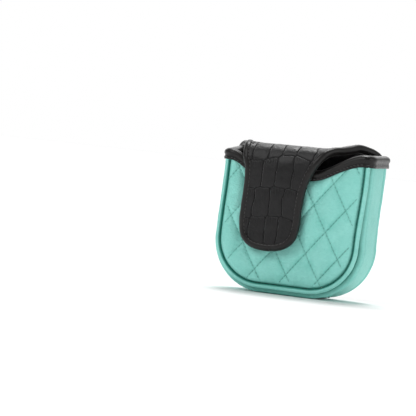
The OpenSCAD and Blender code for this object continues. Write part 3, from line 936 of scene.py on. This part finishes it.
PLATE_ROWS = [-135, -115, -96, -77, -58.5, -37, -14, 4.8, 26, 48, 71, 95, 121, 147, 172]
PLATE_REACH, PEBBLE_PITCH = 74, 7.6
PLATE_POWER, PEBBLE_POWER = 6.0, 2.4


def pebbled(x, s):
    """Positive where the small scales are."""
    border = np.interp(s, [-110, -92, -75, -45, -30, -18, -6, 6, 17],
                       [13, 15, 20, 24, 14, 2, 3, 13, 60])
    front_left = -33 - 0.22 * (s - 30)
    return np.where(s < 26, x - border, np.where(s < 110, front_left - x, -20))


def scale_layout():
    """Scales as (x, s, half width, half length, squareness), in sheet coordinates."""
    rng = np.random.default_rng(41)
    plates, pebbles = [], []
    for low, high in zip(PLATE_ROWS, PLATE_ROWS[1:]):
        x = -PLATE_REACH + rng.uniform(0, 8)
        while x < PLATE_REACH:
            w = rng.uniform(10.5, 15.0)
            plates.append([x + w / 2, (low + high) / 2, w / 2, (high - low) / 2, PLATE_POWER])
            x += w
    for i in range(-26, 28):
        for j in range(-12, 13):
            x = j * PEBBLE_PITCH + (i % 2) * PEBBLE_PITCH / 2 + rng.normal(0, 0.75)
            s = i * PEBBLE_PITCH * 0.87 + rng.normal(0, 0.75)
            half = PEBBLE_PITCH / 2 * rng.uniform(0.85, 1.15)
            pebbles.append([x, s, half, half, PEBBLE_POWER])
    plates = [p for p in plates if pebbled(p[0], p[1]) < 3.5]
    pebbles = [p for p in pebbles if pebbled(p[0], p[1]) > -0.5]
    return np.array(plates + pebbles)


SCALES = scale_layout()


def embossed(a, b):
    """Relief of the scales at points (a, b), and the shade painted into the grooves and along the
    ticks there, 0 to 1.
    """
    x, s, half_x, half_s, power = SCALES.T
    f = ((np.abs(a[:, None] - x) / half_x) ** power
         + (np.abs(b[:, None] - s) / half_s) ** power) ** (1 / power)
    nearest_two = np.argpartition(f, 1, axis=1)[:, :2]
    both = np.take_along_axis(f, nearest_two, 1)
    lo, hi = both.min(1), both.max(1)
    own = nearest_two[np.arange(len(a)), both.argmin(1)]
    x, s, half_x, half_s, power = SCALES[own].T
    pebble = power < 4
    up = (b - s) / half_s
    sideways = (np.abs(a - x) / half_x) ** power
    lengthways = np.abs(up) ** power
    endwise = lengthways / (sideways + lengthways + 1e-9)
    gap = (hi - lo) / 2 * (half_x + (half_s - half_x) * endwise)
    groove = bell(gap / np.where(pebble, 0.5, 0.4))
    dome = np.where(pebble, 0.6, 0.34) * (1 - np.clip(lo, 0, 1) ** 2.5)
    comb = np.cos(a * 2 * math.pi / 1.9 + 2.0 * np.sin(x))
    low_end = ramp((0.97 + up) / 0.12) * ramp((-0.5 - up) / 0.25)
    combed = (np.sin(x * 3.7 + s) > -0.45) & ~pebble
    ticks = 0.3 * np.clip(-comb - 0.25, 0, 1) * low_end * combed
    # The second value is painted shade: dark in the grooves and along the ticks.
    return dome - 0.75 * groove - ticks, np.clip(groove ** 1.5 + 2.2 * ticks, 0, 1)


def croc_height(x, s):
    """Relief of the embossed leather in mm, and how much shade is painted at each point in its
    grooves, 0 to 1.
    """
    p = np.stack([x.ravel(), s.ravel()], 1)
    a = p[:, 0] + 1.1 * value_noise(p, 9.0, 11) + 0.35 * value_noise(p, 3.0, 12)
    b = (p[:, 1] + 3.0 * np.sin(p[:, 0] / 15.0 + 0.02 * p[:, 1]) + 2.2 * value_noise(p, 24.0, 13)
         + 0.5 * value_noise(p, 3.5, 14))
    at_once = 3000
    parts = [embossed(a[i:i + at_once], b[i:i + at_once]) for i in range(0, len(p), at_once)]
    height, painted_shade = np.concatenate(parts, axis=1)
    fine = 0.05 * value_noise(p, 1.6, 15) + 0.1 * value_noise(p, 5.0, 16)
    return (height + fine).reshape(x.shape), painted_shade.reshape(x.shape)


# ---- the sheet's pieces and the linings ----

def sheet_grid(s_from, s_to, rows, cols, inset, on_panel, panel_inset=0.0):
    """A grid of points (x, s) over a stretch of the sheet, that far inside the flap's edges.
    On the display panel it ends that far inside the seam instead."""
    s = np.linspace(s_from, s_to, rows)[:, None]
    left, right = edge_x(-1, s) + inset, edge_x(1, s) - inset
    if on_panel:
        z = FOLD_Z + np.minimum(s, 0)
        near = ramp((s + 9) / 9)
        panel_left, panel_right = panel_inset - half_width(-1, z), half_width(1, z) - panel_inset
        left = panel_left + (left - panel_left) * near
        right = panel_right + (right - panel_right) * near
    x = left + (right - left) * np.linspace(0, 1, cols)[None, :]
    return x, s + 0 * x


def sheet_piece(name, s_from, s_to, rows, cols, thickness, on_panel):
    """One stretch of the croc sheet as a closed piece, its edges under the binding."""
    x, s = sheet_grid(s_from, s_to, rows, cols, 2.5, on_panel)
    relief, painted_shade = croc_height(x, s)
    if on_panel:
        edge = seam_distance(x, FOLD_Z + np.minimum(s, 0))
        relief = relief - 1.7 * bell(edge / 1.6) * ramp(-(s + 2) / 8)
    outer = sheet(x, s, relief)
    inner = sheet(x, s, -thickness)
    # Shade painted into the scales' grooves.
    return paint_groove_shade(slab(name, outer, inner, CROC), painted_shade)


def display_sheet():
    return sheet_piece("croc_display_sheet", PANEL_LOW - FOLD_Z, SPLIT_S, 300, 250, 4.2, True)


def flap_sheet():
    s_to = z_to_s(TONGUE_TIP_Z) - 3.0
    return sheet_piece("croc_flap_sheet", SPLIT_S, s_to, 250, 190, 3.8, False)


def lining_piece(name, s_from, s_to, rows, on_panel):
    """Plush under one stretch of the sheet, flat where it lies on a padded part."""
    x, s = sheet_grid(s_from, s_to, rows, 60, 3, on_panel, 1.6)
    depth = np.where(s < 0, 6.4 - 1.4 * ramp((s + 14) / 14), 5.0)
    flat = ramp(-s / 20) if on_panel else ramp((s - 62) / 14)
    lift = -sheet_lift(x, s) * flat
    nap = 0.12 * value_noise(np.stack([x, s], -1), 4.0, 21)
    outer = sheet(x, s, -depth + lift + nap)
    inner = sheet(x, s, -depth + 1.3 + 0.5 * lift)
    return slab(name, outer, inner, LINING, flip=True)


def closure_lining():
    x, z = panel_grid(60, 60)
    x, z = x * 0.975, SEAM_BOTTOM + 1.6 + (z - PANEL_LOW) * 0.98
    nap = 0.15 * value_noise(np.stack([x, z], -1), 5.0, 22)
    front = np.stack([x, np.full_like(x, -FACE_Y + 4.7), z], -1)
    back = np.stack([x, -FACE_Y + 6.4 + nap, z], -1)
    return slab("closure_lining_plush", front, back, LINING)


def gusset_lining():
    x, y, z, moved = gusset_sheet(2, 19.5, 24, 1.4)
    nap = 0.12 * value_noise(np.stack([x, y, z], -1), 4.0, 23)
    return slab("gusset_lining_plush", moved(2.1), moved(0.4 + nap), LINING)


# ---- flap binding ----

BINDING_W, BINDING_HALF_H, BINDING_MID_H = 6.3, 3.35, -2.45


def edge_frame(step=1.0):
    """Points along the flap's edge, the directions along it, inward and off the sheet there,
    and the same points as (x, s)."""
    flat = resampled(EDGE, 0.5)
    p = sheet(flat[:, 0], flat[:, 1])
    # A step counts both the way in space and the way in (x, s), so it is root two times longer
    flat = resampled(np.concatenate([p, flat], axis=1), step * 1.42)[:, 3:5]
    p = sheet(flat[:, 0], flat[:, 1])
    n = sheet_normal(flat[:, 0], flat[:, 1])
    t = tangents(p)
    inward = unit(np.cross(t, n))
    centre = sheet(np.array([MAGNET_X]), np.array([z_to_s(80)]))[0]
    tip = int(np.argmax(flat[:, 1]))
    if np.dot(inward[tip], centre - p[tip]) < 0:
        inward = -inward
    return p, t, inward, n, flat


def binding_section():
    """Points (inward from the edge, above the sheet) round the folded binding."""
    points = []
    for a in np.linspace(0, 2 * math.pi, 26, endpoint=False):
        c, s = math.cos(a), math.sin(a)
        power = 3.2 if c > 0 else 2.15
        u = math.copysign(abs(c) ** (2 / power), c)
        h = math.copysign(abs(s) ** (2 / power), s)
        points.append((BINDING_W / 2 * (1 + u),
                       BINDING_HALF_H * h + BINDING_MID_H + 0.25 * (1 - abs(u))))
    return np.array(points)


def flap_binding_pieces():
    """The binding round the flap's edge, as its right, tongue and left pieces."""
    p, _, inward, n, flat = edge_frame()
    count = np.arange(len(p))
    puckers = 0.13 * np.sin(count * 2 * math.pi / 2.9)
    lumps = 0.16 * value_noise(np.stack([count, 0 * count], 1), 7.0, 31)
    grow = 1 + (puckers * 0.25 + lumps * 0.35) / 3
    mid = np.array([BINDING_W / 2, BINDING_MID_H])
    q = mid + (binding_section() - mid) * grow[:, None, None]
    rings = p[:, None] + q[..., 0:1] * inward[:, None] + q[..., 1:2] * n[:, None]
    on_top = np.where(flat[:, 1] < SPLIT_S)[0]
    tip = int(np.argmax(flat[:, 1]))
    right_cut = on_top[on_top < tip].max()
    left_cut = on_top[on_top > tip].min()
    return (tube("flap_binding_right", rings[:right_cut + 1], SMOOTH),
            tube("tongue_binding_strip", rings[right_cut:left_cut + 1], SMOOTH),
            tube("flap_binding_left", rings[left_cut:], SMOOTH))


def flap_stitching_pieces():
    """The row of stitches along the binding's inner side, as its right, tongue and left rows."""
    p, t, inward, n, flat = edge_frame(0.5)
    centres = p + inward * (BINDING_W - 1.25) + n * 0.55
    path = resampled(np.concatenate([centres, t, inward, n, flat], axis=1), 0.25)
    length = run_length(path[:, :3])
    at = np.arange(3.0, length[-1] - 3.0, 3.2)
    rows = np.stack([np.interp(at, length, path[:, k]) for k in range(path.shape[1])], 1)
    c, tt, nn = rows[:, 0:3], unit(rows[:, 3:6]), unit(rows[:, 9:12])
    s = rows[:, 13]
    tip = int(np.argmax(s))
    index = np.arange(len(s))
    groups = (("flap_stitches_right", (index < tip) & (s < SPLIT_S)),
              ("tongue_stitches", s >= SPLIT_S),
              ("flap_stitches_left", (index > tip) & (s < SPLIT_S)))
    return [stitches(name, c[keep], tt[keep], nn[keep], BLACK_THREAD, 2.4, 0.27, 0.2)
            for name, keep in groups]


# ---- embroidery ----

SATIN_PITCH = 0.6


def satin(lines, surface, height=0.75, base=-0.35):
    """Satin-stitched strokes: points and faces of ridged ribbons over a surface.
    Each line is (path of 2-D points, width, whether it is closed)."""
    points, faces = [], []
    start = 0
    across = np.linspace(-1, 1, 9)
    rng = np.random.default_rng(5)
    for path, width, closed in lines:
        path = np.asarray(path, float)
        if closed:
            path = np.concatenate([path, path[:1]])
        p = resampled(path, SATIN_PITCH / 4)
        if closed:
            p = p[:-1]
        t = tangents(p, closed)
        side = np.stack([-t[:, 1], t[:, 0]], 1)
        along = np.arange(len(p)) * SATIN_PITCH / 4
        jitter = rng.normal(0, 0.035, len(p) // 4 + 2)
        wide = width / 2 * (1 + jitter[(along / SATIN_PITCH).astype(int)])
        if not closed:
            to_end = np.minimum(along, along[-1] - along)
            wide = wide * np.sqrt(np.clip(to_end / (width / 2), 0.05, 1))
        slant = 0.35 * across[None, :] * width / 2
        ridge = np.abs(np.sin(math.pi * (along[:, None] + slant) / SATIN_PITCH)) ** 0.7
        dome = np.sqrt(np.clip(1 - across ** 2, 0, 1))[None, :]
        h = base + (height - base) * dome * (0.72 + 0.28 * ridge)
        xy = p[:, None, :] + wide[:, None, None] * across[None, :, None] * side[:, None, :]
        top = surface(xy[..., 0], xy[..., 1], h)
        low = surface(xy[:, -2:0:-1, 0], xy[:, -2:0:-1, 1], base - 0.15)
        ring = np.concatenate([top, low], axis=1)
        n, m = ring.shape[:2]
        points.append(ring.reshape(-1, 3))
        if closed:
            faces.extend(grid_faces(n, m, start, wrap=True).tolist())
            last = start + (n - 1) * m
            for j in range(m):
                k = (j + 1) % m
                faces.append([last + j, last + k, start + k, start + j])
        else:
            faces.extend(tube_faces(n, m, start))
        start += n * m
    return np.concatenate(points), faces


def oval(cx, cz, rx, rz, count=160):
    a = np.linspace(0, 2 * math.pi, count, endpoint=False)
    return np.stack([cx + rx * np.cos(a), cz + rz * np.sin(a)], 1)


def rounded(corners, radius):
    """A closed outline with round corners."""
    c = np.asarray(corners, float)
    out = []
    for i in range(len(c)):
        a, b, d = c[i - 1], c[i], c[(i + 1) % len(c)]
        u, v = (a - b) / np.linalg.norm(a - b), (d - b) / np.linalg.norm(d - b)
        for t in np.linspace(0, 1, 9):
            out.append((1 - t) ** 2 * (b + u * radius) + 2 * t * (1 - t) * b
                       + t ** 2 * (b + v * radius))
    return np.array(out)


def embroidery():
    """A flag in an oval green with a ball beside the hole, in silver-white thread."""
    pole, ball, green_z = -8.0, 24, 54.0
    inner_oval = oval(0, green_z, 37.5, 8.6)
    flag = [[pole - 1.6, 96.4], [pole - 1.6, 78.6], [pole - 30, 87.4]]
    lines = [(oval(0, green_z, 43, 13), 3.0, True),
             (inner_oval[20:62], 1.0, False),
             (inner_oval[104:140], 1.0, False),
             (oval(pole, green_z, 6, 2), 1.3, True),
             (oval(ball, green_z + 0.5, 6, 6), 2.0, True),
             ([[pole, green_z + 0.5], [pole, 97]], 2.2, False),
             (rounded(flag, 2.5), 2.2, True)]
    for dx, dz in ((0, 3), (-2.8, 1), (0, 0.2), (2.8, 1), (-1.6, -2.2), (1.6, -2.2)):
        x, z = ball + dx, green_z + 0.5 + dz
        lines.append(([[x - 0.6, z], [x + 0.6, z + 0.3]], 0.9, False))
    for k, x in enumerate((-33, -29.5, 33.5)):
        lines.append(([[x, green_z + 15.5], [x + 2.4, green_z + 21 + k % 2]], 1.1, False))
    for length, z in ((12, 82), (8, 86.5)):
        lines.append(([[10, z], [10 + length, z]], 1.1, False))

    def surface(x, z, h):
        return sheet(x, z - FOLD_Z, np.asarray(h) + 0.12)
    points, faces = satin(lines, surface)
    return new_object("motif_embroidery", points, faces, SILVER)


def underside_bars():
    """Plain slanted bars of black satin stitch on the underside of the gusset."""
    low = SEAM[SEAM[:, 1] < SEAM_BOTTOM + 8]
    low = low[np.argsort(low[:, 0])]

    def surface(x, y, h):
        """Under the gusset, which lies further below the seam where it slants."""
        z = np.interp(x, low[:, 0], low[:, 1])
        upright = np.sqrt(1 - np.clip((z - SEAM_BOTTOM) / CORNER_R, 0, 1))
        out = gusset_rise(x, z, y) / np.maximum(upright, 0.5)
        return np.stack([x, y, np.maximum(z - out - h, 0.0)], -1)
    count, pitch, middle = 11, 5.6, 5.5
    lines = [([[x - 3, -9], [x + 4.5, 17.5]], 3.2, False)
             for x in (np.arange(count) - middle) * pitch]
    points, faces = satin(lines, surface, 0.5, -0.3)
    return new_object("underside_stitched_bars", points, faces, BLACK_THREAD)


# ---- the pieces on their bodies ----

def rides(obj, slot, *nodes):
    """obj is fixed to the pocket and stands for those CAD nodes."""
    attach(obj, "pocket")
    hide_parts(*nodes)
    return obj


def bends(obj, joint, slot, *nodes):
    """obj keeps its place, its transform baked into its mesh, and stands for those CAD nodes; the
    fold and the bend are handled alike.
    """
    if joint == "fold":
        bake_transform(obj)
    else:
        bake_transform(obj)
    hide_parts(*nodes)
    return obj


quilted = rides(closure_panel(), "mint_leather", "closure_panel", "closure_foam")
rides(quilting(), "dark_thread", "quilting_thread")
band = rides(gusset(), "mint_leather", "gusset", "gusset_foam")
rides(piping("display_piping", 1), "mint_leather", "display_piping_cover")
rides(piping("closure_piping", -1), "mint_leather", "closure_piping_cover")
rides(rim_binding(), "smooth_leather", "rim_binding")
rides(rim_stitching(), "black_thread", "rim_binding_thread")
rides(closure_lining(), "plush", "closure_lining")
rides(gusset_lining(), "plush", "gusset_lining")
rides(underside_bars(), "black_thread", "underside_bars")

display = bends(display_sheet(), "fold", "croc_leather", "display_panel", "display_foam")
bends(embroidery(), "fold", "silver_thread", "embroidery")
bends(lining_piece("display_lining_plush", SEAM_BOTTOM + 1.8 - FOLD_Z, SPLIT_S, 90, True),
      "fold", "plush", "display_lining")
flap = bends(flap_sheet(), "bend", "croc_leather", "flap_top_leather", "flap_top_foam",
             "tongue_leather", "tongue_foam")
bends(lining_piece("flap_lining_plush", SPLIT_S, z_to_s(TONGUE_TIP_Z) - 3.6, 80, False),
      "bend", "plush", "flap_top_lining", "tongue_lining")

right_strip, tongue_strip, left_strip = flap_binding_pieces()
bends(right_strip, "fold", "smooth_leather", "flap_top_binding_right")
bends(left_strip, "fold", "smooth_leather", "flap_top_binding_left")
bends(tongue_strip, "bend", "smooth_leather", "tongue_binding")
right_row, tongue_row, left_row = flap_stitching_pieces()
bends(right_row, "fold", "black_thread", "flap_top_thread_right")
bends(left_row, "fold", "black_thread", "flap_top_thread_left")
bends(tongue_row, "bend", "black_thread", "tongue_thread")

for node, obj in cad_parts.items():
    for word, material in (("pouch", POUCH), ("magnet", NICKEL), ("cord", CORD)):
        if word in node:
            obj.data.materials.clear()
            obj.data.materials.append(material)
            break


# ---- floor, light and camera ----

def floor():
    size = 12.0
    mesh = bpy.data.meshes.new("floor")
    corners = [(-size, -size, 0), (size, -size, 0), (size, size, 0), (-size, size, 0)]
    mesh.from_pydata(corners, [], [(0, 1, 2, 3)])
    mesh.materials.append(floor_material())
    obj = bpy.data.objects.new("floor", mesh)
    COLLECTION.objects.link(obj)


def direction(azimuth, elevation):
    """Unit vector from the cover, in degrees round from the closure side and up."""
    a, e = math.radians(azimuth), math.radians(elevation)
    return Vector((math.sin(a) * math.cos(e), -math.cos(a) * math.cos(e), math.sin(e)))


def soft_sun(name, azimuth, elevation, spread, strength):
    """Light as from a very large soft box, the same everywhere on the floor."""
    data = bpy.data.lights.new(name, "SUN")
    data.angle = math.radians(spread)
    data.energy = strength
    obj = bpy.data.objects.new(name, data)
    obj.rotation_mode = "QUATERNION"
    obj.rotation_quaternion = (-direction(azimuth, elevation)).to_track_quat("-Z", "Y")
    COLLECTION.objects.link(obj)


def studio():
    """A white room, bright along the horizon, with soft boxes overhead and to the sides."""
    world = bpy.data.worlds.new("studio")
    bpy.context.scene.world = world
    world.use_nodes = True
    tree = world.node_tree
    place = tree.nodes.new("ShaderNodeTexCoord")
    split = tree.nodes.new("ShaderNodeSeparateXYZ")
    shade = tree.nodes.new("ShaderNodeMapRange")
    shade.interpolation_type = "SMOOTHSTEP"
    for socket, value in (("From Min", 0.08), ("From Max", 0.18), ("To Min", 1.0), ("To Max", 0.3)):
        shade.inputs[socket].default_value = value
    background = tree.nodes["Background"]
    tree.links.new(place.outputs["Generated"], split.inputs["Vector"])
    tree.links.new(split.outputs["Z"], shade.inputs["Value"])
    tree.links.new(shade.outputs["Result"], background.inputs["Strength"])
    background.inputs["Color"].default_value = (1, 1, 1, 1)
    soft_sun("overhead", 200, 70, 28, 1.9)
    soft_sun("key", -28, 42, 40, 0.85)
    soft_sun("side", 80, 25, 45, 0.55)
    soft_sun("back", 200, 30, 50, 0.6)


def camera():
    """Level with the cover, a little to its right, tilted and turned so that the cover stands
    right of the middle. A long lens from afar."""
    roll, turned_left, turned_up = math.radians(6.3), math.radians(1.854), math.radians(0.25)
    distance = 2.2634
    target = Vector(placed([0, 0, 62]))
    back = direction(18, 1.5)
    data = bpy.data.cameras.new("camera")
    data.sensor_width = 36.0
    data.lens = 238.0
    data.clip_start, data.clip_end = 0.05, 50.0
    obj = bpy.data.objects.new("camera", data)
    COLLECTION.objects.link(obj)
    turn = (-back).to_track_quat("-Z", "Y").to_matrix().to_4x4() @ Matrix.Rotation(roll, 4, "Z")
    turn = turn @ Matrix.Rotation(turned_left, 4, "Y") @ Matrix.Rotation(turned_up, 4, "X")
    turn.translation = target + back * distance
    obj.matrix_world = turn
    bpy.context.scene.camera = obj


floor()
studio()
camera()
bpy.context.scene.view_settings.view_transform = "Standard"
